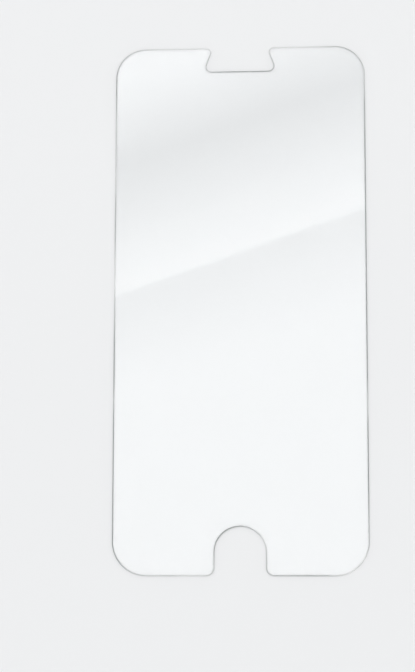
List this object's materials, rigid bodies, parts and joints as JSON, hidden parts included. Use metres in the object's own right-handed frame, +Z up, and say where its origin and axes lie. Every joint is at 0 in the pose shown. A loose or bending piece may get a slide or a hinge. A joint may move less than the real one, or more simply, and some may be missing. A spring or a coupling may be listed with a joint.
{
  "type": "phone screen protector",
  "caption": "Thin clear glass sheet with rounded corners, an undercut earpiece notch in its top edge and an arched home-button cut-out in its bottom edge, to cover a phone screen.",
  "frame": {"origin": "centre of the underside, the face that sticks to the phone and lies on the surface", "axes": "+Y along the length to the earpiece notch, +X across the width, +Z up out of the touch face"},
  "size_m": [0.071, 0.15, 0.0004],
  "materials": {
    "clear_glass": "clear toughened glass with polished faces and a finely ground, rounded rim"
  },
  "bodies": {
    "root": {"glass_sheet": "clear_glass"}
  },
  "joints": []
}
